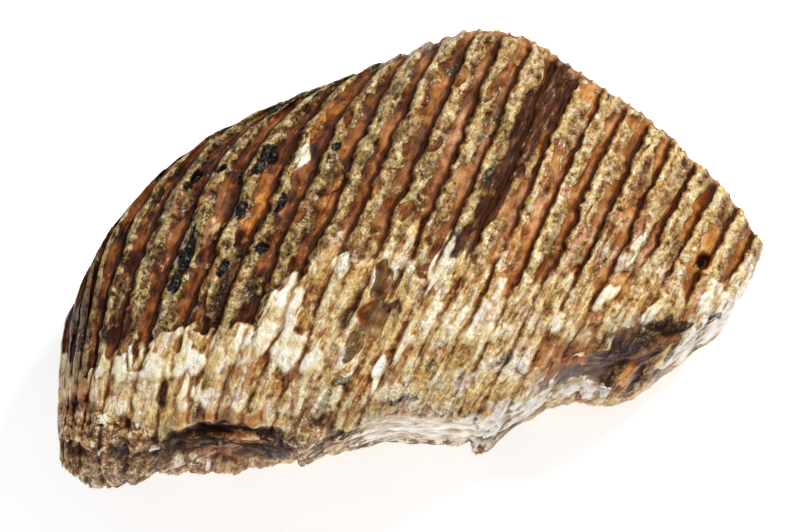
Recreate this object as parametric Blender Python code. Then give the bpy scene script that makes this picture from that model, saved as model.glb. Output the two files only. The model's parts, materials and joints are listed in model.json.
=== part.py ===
"""A fossil mammoth molar, lying on one flank.

The tooth grew as a row of upright plates fused side by side. Each plate is a few closed rings here,
set one behind the other along the tooth and skinned into one solid. +X runs from the rounded back of
the tooth to its worn front, +Y from the roots to the crown, and +Z up through the two flanks.
"""

from collections import namedtuple

import bmesh
import bpy
import numpy as np
from mathutils import Vector, noise

# All lengths below are in millimetres, and the finished points are scaled to metres.
MM = 0.001

# Plates are counted from the worn front. The tooth starts and ends part of the way into one.
FRONT_PLATE = 0.95
BACK_PLATE = 24.6

# Curves along the tooth as (plate, value), with a smooth line drawn through the points.
# Every plate crosses the foot row at its own place, and the last plates crowd together.
FOOT_ROW_Y = -14
FOOT_X = ((0.95, 119.6), (3, 95), (5, 74), (7, 53.6), (9, 32.5), (12, -0.5), (15, -37.5), (18, -74.5),
          (21, -109.8), (22, -116.5), (23, -120), (24, -122.2), (24.6, -123.2))
CROWN_EDGE = ((0.95, 2), (2, 12), (5, 36), (9, 61.5), (13, 80.5), (15, 77.5), (18, 66), (20, 55),
              (22, 41.5), (23, 31), (24, 16), (24.6, 5))
ROOT_EDGE = ((0.95, -29), (1.4, -36), (2.2, -46), (3.5, -51), (5, -54), (6.3, -64), (8, -69.5),
             (10.5, -70), (13, -74.5), (16, -78.5), (18.6, -78), (20, -79), (21.5, -79),
             (24, -75), (24.6, -71))
LOWER_FLANK = ((0.95, 13), (2, 5), (4.5, 0.2), (8, 1.8), (11, 2.4), (14, 1.5), (17, 0), (20, 3.5),
               (22, 8), (24, 16), (24.6, 22))
THICKNESS = ((0.95, 52), (2, 70), (4.5, 85), (8, 88), (11, 87.5), (15, 84), (17, 81), (20, 73),
             (22, 61), (24, 45), (24.6, 34))

# How far a plate leans forward for each millimetre of height, above and below the foot row.
CROWN_LEAN = ((0.95, 0.54), (3, 0.52), (5, 0.46), (9, 0.42), (13, 0.42), (17, 0.47), (20, 0.53),
              (24.6, 0.5))
ROOT_LEAN = ((0.95, 0.54), (9, 0.54), (13, 0.46), (18, 0.27), (22, 0.12), (24.6, 0.12))
LEAN_BLEND = 12

# The unworn tips curl forward over the back edge of the crown.
TIP_CURL = 12
TIP_CURL_REACH = 10
TIP_SAG = 3.5

# How square a ring's corners are: 2 is an ellipse, and a large number is a box.
WORN_SQUARENESS = 9.0
TIP_SQUARENESS = 2.7
ROOT_SQUARENESS = 5.0
LAST_WORN_PLATE = 12.6
FIRST_TIP_PLATE = 15.5

# Relief, from valley to ridge crest.
FLANK_RIDGE = 3.2
ROOT_RIDGE = 1.3
WORN_FACE_RIDGE = 2.0
TIP_RIDGE = 3.0
TIP_RISE = 3.5
CREST_HALF = 0.17
VALLEY_START = 0.33
ROUGHNESS = 1.1
ROUGH_GRAIN = 17
WORN_FACE_DISH = 2.5

# Points round a ring: up the upper flank, over the crown, down the lower flank, back under the roots.
UPPER_FLANK_STEPS = 14
CROWN_STEPS = 7
LOWER_FLANK_STEPS = 12
ROOT_STEPS = 9
END_RINGS = ((0.00, 0.0), (0.09, 1.3), (0.36, 2.2), (0.72, 2.6))

# Lumps and hollows on the skin: centre, half sizes along the tooth, up the tooth and through it,
# the turn of the long side in degrees, and how far it stands out (a hollow is below zero).
Form = namedtuple("Form", "x y z long high deep turn out")
FORMS = (
    Form(72, -45, 74, 36, 12, 26, 20, -6.0),   # smooth root hollow low on the front half
    Form(-71, -75, 56, 23, 13, 23, 0, -6.0),   # dark root hollow near the back
    Form(-3, -68, 52, 26, 12, 34, 0, -4.0),    # pale root hollow in the middle
    Form(-110, -79, 34, 17, 13, 26, 0, 4.0),   # gritty root end at the back
    Form(-39, -72, 62, 9, 10, 24, 0, 3.5),     # gritty lump between two hollows
    Form(29, -65, 22, 8, 9, 14, 0, 5.0),       # lump at the foot of the middle hollow
    Form(80, -46, 24, 14, 8, 12, 20, 4.0),     # knobs under the front hollow
    Form(-18, -26, 84, 7, 16, 9, -28, -2.4),   # bare brown patch in mid flank
    Form(-40, -74, 14, 30, 9, 12, 0, -3.0),    # hollow on the hidden side of the roots
    Form(20, -66, 0, 40, 14, 14, 0, -3.0),     # worn lower corner of the roots
)


def through(points, plate):
    """The value at a plate of a smooth line through hand-placed (plate, value) points."""
    at, value = np.array(points, float).T
    slope = np.gradient(value, at)
    i = np.clip(np.searchsorted(at, plate) - 1, 0, len(at) - 2)
    step = at[i + 1] - at[i]
    t = np.clip((plate - at[i]) / step, 0, 1)
    near = (1 + 2 * t) * (1 - t) ** 2 * value[i] + t * (1 - t) ** 2 * step * slope[i]
    far = t * t * (3 - 2 * t) * value[i + 1] - t * t * (1 - t) * step * slope[i + 1]
    return near + far


def ease(low, high, value):
    """0 below low, 1 above high, and a smooth rise between them."""
    t = np.clip((value - low) / (high - low), 0, 1)
    return t * t * (3 - 2 * t)


def plate_x(plate, y):
    """The line that a plate follows up the tooth, seen from the flank."""
    rise = y - FOOT_ROW_Y
    upward = LEAN_BLEND * np.logaddexp(0, rise / LEAN_BLEND)
    lean = through(ROOT_LEAN, plate) * (rise - upward) + through(CROWN_LEAN, plate) * upward
    below_tip = through(CROWN_EDGE, plate) - y
    curl = TIP_CURL * np.exp(-np.maximum(below_tip, 0) / TIP_CURL_REACH)
    sag = TIP_SAG * np.exp(-(((below_tip - 32) / 22) ** 2))
    return through(FOOT_X, plate) + lean + (curl - sag) * ease(15, 18, plate)


def ring_square():
    """The ring as a square path: (up, across) from -1 to 1, up for the crown, across for +Z."""
    sides = (
        (UPPER_FLANK_STEPS, (-1, 1), (1, 1)),
        (CROWN_STEPS, (1, 1), (1, -1)),
        (LOWER_FLANK_STEPS, (1, -1), (-1, -1)),
        (ROOT_STEPS, (-1, -1), (-1, 1)),
    )
    path = []
    for steps, start, end in sides:
        for i in range(steps):
            share = i / steps
            path.append([a + (b - a) * share for a, b in zip(start, end)])
    return np.array(path).T


def crest(plate):
    """1 on a plate's ridge and 0 in the valley between two plates."""
    off = np.abs(plate - np.round(plate))
    return 1 - ease(CREST_HALF, VALLEY_START, off)


def worn(plate):
    """1 where the plate is worn flat, 0 where its tip is whole."""
    return 1 - ease(LAST_WORN_PLATE, FIRST_TIP_PLATE, plate)


def relief(plate, up, across):
    """How far the plates' ridges stand out of the skin, along its normal."""
    flank = ROOT_RIDGE + (FLANK_RIDGE - ROOT_RIDGE) * ease(-0.65, -0.1, up)
    crown = TIP_RIDGE + (WORN_FACE_RIDGE - TIP_RIDGE) * worn(plate)
    height = flank + (crown - flank) * ease(0.8, 1.0, up)
    height = height * (1 - 0.6 * ease(-0.85, -1.0, up))
    dish = WORN_FACE_DISH * worn(plate) * ease(0.9, 1, up) * (1 - across**2)
    return height * (crest(plate) - 0.5) - dish


def form_offset(form, points):
    """A lump's or hollow's height at each point."""
    turn = np.radians(form.turn)
    x = points[..., 0] - form.x
    y = points[..., 1] - form.y
    z = points[..., 2] - form.z
    along = (x * np.cos(turn) + y * np.sin(turn)) / form.long
    up = (y * np.cos(turn) - x * np.sin(turn)) / form.high
    away = np.sqrt(along**2 + up**2 + (z / form.deep) ** 2)
    return form.out * (1 - ease(0.45, 1.25, away))


def uneven(points):
    """A slow unevenness over the whole tooth."""
    flat = points.reshape(-1, 3) / ROUGH_GRAIN
    lumps = [noise.noise(Vector(p)) + 0.5 * noise.noise(Vector(p) * 2.3) for p in flat]
    return np.array(lumps).reshape(points.shape[:-1]) * ROUGHNESS


def skin(plate, up, across, shrink, bulge):
    """Points of the tooth's surface. plate, shrink and bulge have one row for each ring."""
    top, bottom = through(CROWN_EDGE, plate), through(ROOT_EDGE, plate)
    top = top + TIP_RISE * (crest(plate) - 0.5) * (1 - worn(plate))
    low, thick = through(LOWER_FLANK, plate), through(THICKNESS, plate)
    half_height, half_thick = (top - bottom) / 2, thick / 2

    square = worn(plate) * WORN_SQUARENESS + (1 - worn(plate)) * TIP_SQUARENESS
    power = np.where(up > 0, square, ROOT_SQUARENESS)
    reach = (np.abs(up) ** power + np.abs(across) ** power) ** (-1 / power)
    up, across = up * reach, across * reach

    taper = 1 - 0.10 * ease(0.1, 1, up) - 0.10 * ease(-0.3, -1.1, up)
    y = (top + bottom) / 2 + half_height * up * (1 - shrink)
    middle = low + half_thick
    z = middle + half_thick * across * taper * (1 - shrink)
    x = plate_x(plate, y)
    lean = plate_x(plate, y + 1) - x

    # The skin's outward direction inside the leaning plane of the plate.
    out_up = np.sign(up) * np.abs(up) ** (power - 1) / half_height
    out_z = np.sign(across) * np.abs(across) ** (power - 1) / half_thick
    size = np.hypot(out_up, out_z)
    stretch = np.sqrt(1 + lean**2)
    normal = np.stack([out_up * lean / stretch, out_up / stretch, out_z], -1) / size[..., None]

    points = np.stack([x + bulge, y, z], -1)
    out = relief(plate, up, across) + uneven(points)
    out = out + sum(form_offset(form, points) for form in FORMS)
    return points + normal * (out * (1 - shrink))[..., None]


def ring_plates():
    """Plate positions of the rings: two on each crest and two in each valley."""
    beats = (-VALLEY_START, -CREST_HALF, CREST_HALF, VALLEY_START)
    found = [plate + beat for plate in range(1, 26) for beat in beats]
    inside = [p for p in found if FRONT_PLATE + 0.1 < p < BACK_PLATE - 0.1]
    return [FRONT_PLATE] + inside + [BACK_PLATE]


def ring_rows():
    """(plate, shrink, bulge) for every ring, with the two ends closing in over a low dome."""
    front = [(FRONT_PLATE, shrink, bulge) for shrink, bulge in reversed(END_RINGS)]
    back = [(BACK_PLATE, shrink, -bulge) for shrink, bulge in END_RINGS]
    middle = [(plate, 0.0, 0.0) for plate in ring_plates()[1:-1]]
    return np.array(front + middle + back)


def tooth_points():
    """All rings in metres, resting on z = 0 and centred over the origin."""
    rows = ring_rows()
    up, across = ring_square()
    plate, shrink, bulge = (rows[:, i][:, None] for i in range(3))
    points = skin(plate, up[None], across[None], shrink, bulge)
    # The highest ridges of the lower flank are worn flat where the tooth rests.
    points[..., 2] = np.maximum(points[..., 2], 0)
    middle = (points.min((0, 1)) + points.max((0, 1))) / 2
    points[..., :2] -= middle[:2]
    return points * MM


def add_tooth(name, colour):
    """Skins the rings with quads and closes both ends."""
    points = tooth_points()
    rings, around = points.shape[:2]
    bm = bmesh.new()
    verts = [[bm.verts.new(p) for p in ring] for ring in points]
    for i in range(rings - 1):
        for j in range(around):
            k = (j + 1) % around
            bm.faces.new((verts[i][j], verts[i][k], verts[i + 1][k], verts[i + 1][j]))
    bm.faces.new(verts[0][::-1])
    bm.faces.new(verts[-1])
    bmesh.ops.triangulate(bm, faces=[f for f in bm.faces if len(f.verts) > 4])
    bmesh.ops.recalc_face_normals(bm, faces=bm.faces)
    mesh = bpy.data.meshes.new(name)
    bm.to_mesh(mesh)
    bm.free()
    mesh.shade_smooth()
    mesh.materials.append(fossil_material(colour))
    tooth = bpy.data.objects.new(name, mesh)
    bpy.context.scene.collection.objects.link(tooth)
    return tooth


def fossil_material(colour):
    """Waxed fossil enamel and root cement: warm brown with a soft gloss."""
    material = bpy.data.materials.new("fossil_enamel_and_cement")
    material.use_nodes = True
    shader = material.node_tree.nodes["Principled BSDF"]
    shader.inputs["Base Color"].default_value = (*colour, 1)
    shader.inputs["Roughness"].default_value = 0.4
    shader.inputs["Metallic"].default_value = 0.0
    return material


def main():
    for old in list(bpy.data.objects):
        bpy.data.objects.remove(old)
    add_tooth("molar", colour=(0.36, 0.21, 0.09))


main()
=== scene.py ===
"""A fossil mammoth molar with its finished surface, lying on a pale studio floor.

The tooth is one skin, laid over the same plates as the CAD solid and with the same outline curves.
On that skin go the relief that shows up close, the zones that each kind of surface takes, and one
material that reads the zones.
"""

import itertools
import json
import math
from types import SimpleNamespace

import bpy
import numpy as np
from bpy.props import FloatProperty, FloatVectorProperty, PointerProperty
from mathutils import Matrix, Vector

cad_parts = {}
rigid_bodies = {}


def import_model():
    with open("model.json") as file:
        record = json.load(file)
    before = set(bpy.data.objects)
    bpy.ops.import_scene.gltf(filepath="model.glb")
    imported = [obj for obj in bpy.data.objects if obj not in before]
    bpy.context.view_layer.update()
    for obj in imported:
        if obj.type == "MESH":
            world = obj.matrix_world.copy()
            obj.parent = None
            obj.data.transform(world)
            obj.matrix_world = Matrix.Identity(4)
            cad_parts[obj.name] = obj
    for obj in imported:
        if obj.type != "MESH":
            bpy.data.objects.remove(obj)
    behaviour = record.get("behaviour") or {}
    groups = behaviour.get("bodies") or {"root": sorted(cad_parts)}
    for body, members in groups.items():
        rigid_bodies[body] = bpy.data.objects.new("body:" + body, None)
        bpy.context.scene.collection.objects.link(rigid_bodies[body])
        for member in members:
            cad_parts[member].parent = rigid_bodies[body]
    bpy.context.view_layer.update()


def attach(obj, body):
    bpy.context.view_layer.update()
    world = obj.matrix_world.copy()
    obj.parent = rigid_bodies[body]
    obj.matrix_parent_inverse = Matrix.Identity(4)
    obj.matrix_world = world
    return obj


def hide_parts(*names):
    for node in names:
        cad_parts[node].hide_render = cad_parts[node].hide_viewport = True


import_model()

bl_info = {
    "name": "Mammoth Molar",
    "version": (1, 0, 0),
    "blender": (4, 5, 0),
    "location": "3D View > Sidebar > Molar",
    "description": "Models a fossil mammoth molar and its studio",
    "category": "Add Mesh",
}

# All lengths below are in millimetres, and the finished points are scaled to metres.
MM = 0.001

# Plates are counted from the worn front. The tooth starts and ends part of the way into one.
FRONT_PLATE = 0.95
BACK_PLATE = 24.6
PLATE_PITCH = 10.4
CLOSE_PLATES = 21.5

# Curves along the tooth as (plate, value), with a smooth line drawn through the points.
FOOT_ROW_Y = -14
FOOT_X = ((0.95, 119.6), (3, 95), (5, 74), (7, 53.6), (9, 32.5), (12, -0.5), (15, -37.5), (18, -74.5),
          (21, -109.8), (22, -116.5), (23, -120), (24, -122.2), (24.6, -123.2))
CROWN_EDGE = ((0.95, 2), (2, 12), (5, 36), (9, 61.5), (13, 80.5), (15, 77.5), (18, 66), (20, 55),
              (22, 41.5), (23, 31), (24, 16), (24.6, 5))
ROOT_EDGE = ((0.95, -29), (1.4, -36), (2.2, -46), (3.5, -51), (5, -54), (6.3, -64), (8, -69.5),
             (10.5, -70), (13, -74.5), (16, -78.5), (18.6, -78), (20, -79), (21.5, -79),
             (24, -75), (24.6, -71))
LOWER_FLANK = ((0.95, 13), (2, 5), (4.5, 0.2), (8, 1.8), (11, 2.4), (14, 1.5), (17, 0), (20, 3.5),
               (22, 8), (24, 16), (24.6, 22))
THICKNESS = ((0.95, 52), (2, 70), (4.5, 85), (8, 88), (11, 87.5), (15, 84), (17, 81), (20, 73),
             (22, 61), (24, 45), (24.6, 34))
CROWN_LEAN = ((0.95, 0.54), (3, 0.52), (5, 0.46), (9, 0.42), (13, 0.42), (17, 0.47), (20, 0.53),
              (24.6, 0.5))
ROOT_LEAN = ((0.95, 0.54), (9, 0.54), (13, 0.46), (18, 0.27), (22, 0.12), (24.6, 0.12))
LEAN_BLEND = 12

# Where the ribbed crown gives way to root cement, as a height for each plate.
CROWN_FOOT = ((0.95, -8), (2.8, -17), (5.2, -22), (8.5, -17), (11.2, -7), (12.7, -6), (14.1, -10),
              (15.3, -12), (15.9, -29), (16.3, -35), (18.6, -36), (19.2, -43), (20.8, -46),
              (21.6, -50), (24.6, -44))

# The unworn tips curl forward over the back edge of the crown.
TIP_CURL = 12
TIP_CURL_REACH = 10
TIP_SAG = 3.5
TIP_RISE = 5.0

# How square a ring's corners are: 2 is an ellipse, and a large number is a box.
WORN_SQUARENESS = 9.0
TIP_SQUARENESS = 2.7
ROOT_SQUARENESS = 5.0
LAST_WORN_PLATE = 12.6
FIRST_TIP_PLATE = 15.5

# A plate's section as (place in plates towards the back, height from 0 to 1), from one groove to the
# next: smooth enamel rises slowly to the ridge, and the ridge drops steeply into its groove.
GROOVE_AT = 0.30
CROWN_SECTION = ((-0.70, 0.0), (-0.68, 0.04), (-0.63, 0.20), (-0.52, 0.32), (-0.34, 0.40), (-0.18, 0.56),
                 (-0.04, 0.64), (0.08, 0.60), (0.18, 0.46), (0.24, 0.26), (0.28, 0.04), (0.30, 0.0))
ROOT_SECTION = ((-0.70, 0.0), (-0.62, 0.45), (-0.5, 0.85), (-0.3, 1.0), (-0.05, 0.95), (0.1, 0.8),
                (0.22, 0.45), (0.30, 0.0))
FACE_SECTION = ((-0.70, 0.35), (-0.62, 0.3), (-0.5, 0.25), (-0.38, 0.35), (-0.31, 1.0), (-0.25, 1.0),
                (-0.18, 0.2), (0.0, 0.0), (0.18, 0.2), (0.24, 1.0), (0.30, 0.35))
FLANK_RIDGE = 3.9
TIP_RIDGE = 3.0
FACE_RIDGE = 1.6
WORN_FACE_DISH = 2.5
ROOT_RIDGE = ((0.95, 1.4), (13, 1.4), (16, 1.6), (21, 1.5), (24.6, 0.6))

# Cement lies on each ridge in a ragged strip. Its edges are given in plates from the ridge's middle.
CEMENT_FRONT = ((0.95, 0.35), (8, 0.36), (13, 0.34), (17, 0.24), (24.6, 0.20))
CEMENT_BACK = 0.245
CEMENT_STEP = 0.26

# Real sizes of the grains and flakes, the last two as (across the plates, along them, through them).
CEMENT_GRAIN = 2.5
FINE_GRAIN = 1.7
CRUMB = 1.3
SAND = 0.9
CLOD = 4.6
KNUCKLE_PITCH = 11.5
FLAKE = (3.4, 17, 13)
SPLINTER = (1.9, 7.5, 6)
STAIN_DRIFT = 3.2
SCOOP_SLANT = 30
SCOOP_FROM_X = 36
HOLLOWS_BELOW_Y = -46
ROUGHNESS = 1.1
ROUGH_GRAIN = 17

# Steps round a ring: up the upper flank, over the crown, down the lower flank, back under the roots.
AROUND_STEPS = (250, 70, 140, 100)
RINGS = 700
END_RINGS = 30

# The skin is made as four closed lengths, back to front, which meet edge to edge. A mesh has room for
# about 100,000 points, so each length can carry relief of half a millimetre.
LENGTHS = ("molar_back", "molar_rear", "molar_middle", "molar_front")
END_DOME = ((0.0, 0.0), (0.09, 1.3), (0.36, 2.2), (0.72, 2.6), (1.0, 2.7))

# Places on the skin: centre, half sizes along, up and through the tooth, the turn of the long side
# in degrees, and how far it stands out or how strong it is, which is 1 if left out.
FORMS = (
    (72, -45, 74, 36, 12, 26, 20, -6.0), (-71, -75, 56, 23, 13, 23, 0, -6.0),
    (-3, -68, 52, 26, 12, 34, 0, -4.0), (-110, -79, 34, 17, 13, 26, 0, 4.0),
    (-39, -72, 62, 9, 10, 24, 0, 3.5), (29, -65, 22, 8, 9, 14, 0, 5.0), (80, -46, 24, 14, 8, 12, 20, 4.0),
    (-18, -26, 84, 7, 16, 9, -28, -2.4), (-40, -74, 14, 30, 9, 12, 0, -3.0),
    (20, -66, 0, 40, 14, 14, 0, -3.0),
)
DETAILS = (
    (-74, 2, 80, 7.5, 3.0, 12, 70, 1.8),     # resin-smooth drop on a ridge
    (-73, 5, 80, 4.0, 1.4, 12, 70, -1.0),
    (104, -9, 76, 5.4, 5.0, 12, 0, 1.2),     # round pit near the front, with a raised rim
    (104, -9, 76, 3.4, 3.2, 12, 0, -3.2),
    (74, -51, 55, 7, 5.5, 12, 10, 4.4),      # knobs under the front hollow
    (88, -49, 41, 6, 5, 12, 20, 3.6), (81, -51, 50, 2.2, 6, 14, 10, -1.8),
    (-124, -59, 45, 9, 4.5, 40, 0, -2.4),    # notch and stump at the back root's end
    (-122, -70, 40, 8, 5, 40, 0, 1.6),
    (-112, -66, 66, 4, 9, 12, 0, 1.6),       # stumps of the broken back root
    (-98, -74, 56, 7, 6, 12, 0, 2.0), (-118, -70, 46, 6, 8, 14, 0, 1.8),
    (-106, -78, 40, 7, 5, 14, 0, 2.2), (-88, -75, 58, 4, 5, 12, 0, -1.8),
    (-77, -66, 73, 2.0, 6, 10, -4, -2.2),    # crevice between two root columns
    (-90, -57, 77, 1.6, 9, 10, -2, -1.6), (28, -66, 40, 7, 5, 12, 15, 1.6),
    (-67, -72, 72, 22, 3.2, 9, 0, -2.0),     # undercut edge of the hollow
)
# Bare places that show in the roots alone, and those that show in the crown as well.
HOLLOWS = (
    (70, -45, 72, 33, 9.5, 26, 24),          # hollow under the front plates
    (-69, -74, 58, 23, 11, 26, 4),           # hollow beside the back root
    (-70, -75, 44, 23, 6, 14, 2),
)
CLEARED = (
    (-3, -68, 46, 30, 8, 34, 2),             # glazed underside
    (-12, -20, 88, 8.0, 4.0, 12, 82, 1.5),   # boot-shaped recess in the flank
    (-14, -32, 87, 8.5, 6.2, 12, 62, 1.5), (-22, -42, 86, 6.5, 3.4, 12, 60, 1.5),
    (-74, 2, 80, 7.5, 2.6, 12, 70, 0.9),
)
# Marks on the skin, by what they look like. Bare places have neither cement nor flakes, and the hollows are
# dark brown, partly their own colour and partly painted shade.
MARKS = {
    "bare": HOLLOWS + CLEARED,
    "black": (
        (-53, 31, 78, 4.8, 3.4, 10, 65), (-57, 25, 79, 4.6, 2.6, 10, 65), (-63, 9, 81, 4.4, 2.2, 10, 65),
        (-83, 20, 76, 2.2, 1.5, 10, 65, 0.9), (-82, -6, 80, 11, 1.9, 10, 74),
        (-86, -18, 80, 4.6, 2.4, 10, 70), (-69, -13, 81, 3.8, 1.4, 10, 65),
        (-55, -5, 82, 3.4, 1.5, 10, 50), (-49, 11, 82, 5.4, 1.6, 10, 65), (-80, 24, 75, 3.4, 1.4, 10, 60),
        (-70, 26, 77, 3.0, 1.6, 10, 60), (-50, 52, 66, 17, 1.6, 12, 42, 0.9),
        (-28, 33, 82, 3.0, 1.4, 10, 60, 0.8), (-13, 34, 84, 2.6, 1.3, 10, 60, 0.8),
        (-90, 31, 66, 12, 1.3, 12, 52, 0.8), (-108, 12, 60, 10, 1.2, 12, 66, 0.8),
        (-64, 22, 79, 3.6, 1.2, 10, 66, 0.8),
        (-48, 24, 80, 3.6, 1.1, 10, 66, 0.8),
    ),
    "green": (
        (71, 51, 84, 4.5, 1.8, 10, 60), (30, 41, 88, 7, 1.3, 10, 62, 0.8),
        (15, 62, 84, 6, 1.6, 10, 50, 0.8), (5, -50, 86, 3.8, 2.2, 10, 50),
        (-25, -54, 83, 4.5, 1.8, 10, 55), (31, -46, 86, 4.2, 1.6, 10, 58, 0.9),
        (-4, -60, 80, 8, 2.4, 10, 10, 0.6), (109, -28, 64, 3.2, 1.6, 10, 20, 0.9),
        (81, -37, 72, 3.4, 2.2, 10, 20, 0.9), (91, -42, 58, 3.0, 1.8, 10, 20, 0.9),
        (-77, -65, 74, 1.0, 5.5, 10, -4, 0.9), (-107, -74, 58, 5, 4, 10, 0, 0.6),
        (28, 20, 89, 6, 1.4, 10, 64, 0.7),
    ),
    "cream": (
        (-82, -47, 78, 26, 5.6, 12, 8, 0.72), (-49, -30, 83, 18, 6.0, 12, 63, 1.1),
        (-45, -43, 83, 9, 6.0, 12, 50, 0.8), (-36, -48, 84, 14, 8, 14, 40, 0.42),
        (20, -36, 87, 27, 12, 14, 6, 0.42), (80, -13, 87, 22, 6, 14, -20, 0.40),
        (-41, 31, 80, 6.5, 2.4, 10, 65), (-47, -24, 83, 13, 3.4, 12, 60),
        (-54, -37, 82, 7.5, 3.6, 12, 66), (-44, -36, 83, 9, 2.4, 12, 64),
        (-37, -49, 84, 12, 2.4, 12, 66, 0.9), (-112, -47, 70, 3.6, 2.6, 12, 80),
        (-106, -49, 73, 6.4, 2.6, 12, 84), (-102, -46, 75, 5.6, 1.8, 12, 88, 0.9),
        (-95, -45, 77, 7.0, 3.0, 12, 82), (-83, -43, 79, 9.5, 3.0, 12, 76),
        (-83, -57, 77, 7.0, 2.4, 12, 84, 0.9), (-78, -56, 78, 6.0, 1.8, 12, 84, 0.8),
        (-73, -42, 80, 8.5, 2.8, 12, 72), (-63, -40, 82, 9.0, 3.0, 12, 68),
        (-100, -60, 73, 6.0, 2.0, 12, 86, 0.6), (-24, -52, 84, 5, 2.0, 12, 60, 0.8),
        (9, -13, 88, 17, 2.2, 12, 62, 0.9), (-25, -12, 87, 5, 3.6, 12, 50),
        (-14, -52, 85, 7, 2.6, 12, 60, 0.8), (-5, -42, 87, 8, 2.2, 12, 62, 0.6),
        (38, -23, 90, 6.5, 2.4, 12, 62, 0.9), (25, -38, 88, 9, 3.2, 12, 60, 0.7),
        (50, -33, 86, 8, 3.0, 12, 60, 0.7), (68, -24, 87, 6.5, 2.6, 12, 55, 0.9),
        (86, -27, 81, 7, 3.0, 12, 45, 0.9), (79, -7, 86, 8, 1.6, 12, 60, 0.7),
        (108, -22, 70, 8, 6.0, 12, 40), (-99, -67, 71, 1.8, 3.4, 10, 0), (-112, -66, 69, 1.4, 2.0, 10, 0),
        (-111, -75, 64, 2.0, 1.6, 10, 0, 0.9),
        (-94, -75, 58, 2.8, 1.0, 10, -35), (58, -44, 75, 4.6, 1.2, 10, 48, 0.9),
        (68, -41, 73, 5.2, 1.2, 10, 42, 0.9),
    ),
    "white": (
        (4, -66, 50, 36, 9, 30, 4, 1.1), (30, -61, 64, 9, 6, 20, 30, 0.8),
        (59, -52, 50, 8, 4, 12, 20, 0.8), (53, -51, 60, 15, 1.8, 14, 30, 1.2),
        (38, -63, 48, 14, 3.0, 24, 42, 1.2), (66, -53, 46, 9, 5, 14, 10, 0.8),
        (106, -33, 54, 19, 7, 24, 40, 0.85), (119, -20, 56, 10, 6, 20, 50, 0.9),
        (18, -54, 84, 9, 4, 10, 40, 0.6), (-76, -75, 37, 10, 3.0, 9, 8, 0.8),
    ),
    "dark": (
        (46, 46, 87, 28, 7.2, 12, 62, 1.4), (29, 13, 89, 18, 6.2, 12, 62, 1.2),
        (18, -3, 90, 9, 4.6, 12, 62, 0.9), (104, -9, 76, 2.8, 2.6, 12, 0),
        (-122, -12, 60, 12, 34, 30, 4, 0.45), (-108, -34, 74, 10, 7, 12, 10, 0.7),
        (-8, -28, 87, 3, 2.4, 10, 60, 0.9), (-90, -57, 77, 1.3, 8, 10, -2, 0.7),
    ),
    # The hollows' own dark brown, with painted shade under the back hollow's overhanging edge and in the
    # crevice between the knobs.
    "earth": (
        (-74, -74, 60, 24, 6.5, 24, 3, 1.3),
        (-60, -75, 62, 17, 6.5, 22, 3, 1.3), (-66, -71, 73, 22, 2.4, 8, -2, 1.2),
        (77, -42, 68, 15, 5, 14, 28, 0.85), (90, -33, 73, 12, 3.6, 14, 12, 1.2),
        (70, -52, 56, 3.6, 3.6, 14, 10, 1.2), (81, -51, 50, 1.8, 6, 14, 10),
        (86, -50, 42, 3.6, 3.0, 14, 20, 0.9), (-26, -72, 64, 8, 1.4, 12, 20, 0.9),
    ),
    "pink": (
        (56, -5, 90, 17, 3.6, 14, 63), (67, -1, 89, 18, 3.6, 14, 63), (78, 0, 88, 18, 3.6, 14, 63),
        (88, -2, 86, 15, 3.6, 14, 60), (50, 12, 90, 14, 3.0, 14, 63, 0.8),
        (14, 34, 89, 14, 3.2, 14, 62, 0.6), (26, 30, 90, 16, 3.0, 14, 62, 0.7),
        (40, 6, 90, 16, 7, 14, 62, 0.5), (-76, -76, 36, 12, 4, 14, 8, 0.7),
        (-66, -74, 50, 8, 4, 12, 30, 0.6),
    ),
    "rust": (
        (36, -5, 91, 14, 2.2, 12, 62), (-55, 14, 80, 18, 2.4, 12, 66),
        (-33, 44, 78, 14, 2.8, 14, 58, 0.8), (52, -46, 76, 17, 7, 16, 26),
        (-70, -66, 76, 22, 3.4, 14, -2, 0.9), (-18, -29, 86, 9, 1.4, 12, 62, 0.9),
        (-122, -57, 62, 6, 10, 20, 0, 0.6), (76, -51, 54, 7, 5.0, 14, 10, 1.1),
        (89, -49, 40, 6, 4.5, 14, 20, 0.9), (100, -20, 76, 10, 3, 12, 60, 0.6),
        (104, -9, 76, 5.8, 5.2, 12, 0, 0.9), (-30, 12, 85, 18, 2.4, 12, 62, 0.5),
        (12, 58, 84, 12, 2.6, 12, 58, 0.6),
    ),
    "tan": (
        (-63, -75, 62, 8, 4.6, 14, -20, 1.3), (-74, -78, 46, 9, 4.0, 10, 20, 1.2),
        (-70, -77, 30, 26, 3.2, 10, 0, 0.7), (-74, 2, 80, 6.5, 2.6, 12, 70, 0.9),
    ),
    "violet": (
        (-53, -77, 50, 10, 5, 14, 14, 1.1), (72, -42, 70, 16, 5.5, 14, 34),
        (-124, -30, 60, 6, 26, 30, 4, 0.6),
    ),
    "grit": (
        (-107, -75, 50, 21, 15, 40, 0), (-121, -68, 44, 13, 14, 60, 0, 1.3),
        (-39, -72, 64, 11, 11, 26, 0), (28, -66, 38, 10, 7, 20, 0, 0.9),
        (80, -47, 44, 16, 7, 16, 15, 0.8), (-70, -78, 26, 26, 5, 13, 0),
    ),
}
# Marks whose edges wander less than the others', and by how much.
NEAT_MARKS = ("black", "tan")
NEATNESS = 0.6

# The studio, in metres where a name gives no unit. The lens gives the photograph's scale.
FLOOR_SIZE = 6
FLOOR_GAP = 0.0002
TOOTH_MIDDLE_Z = 0.044
AIM_X = -0.00396
AIM_BELOW = 0.0009
SENSOR_MM = 36
PHOTO_WIDTH_PX = 800
PX_PER_MM = 2.68
MERGE_DISTANCE = 1e-7

# Directions from which the noise below is woven, the same in every run.
WAYS = np.random.default_rng(7).normal(size=(3, 256))
WAYS = (WAYS / np.linalg.norm(WAYS, axis=0)).astype(np.float32)


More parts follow.
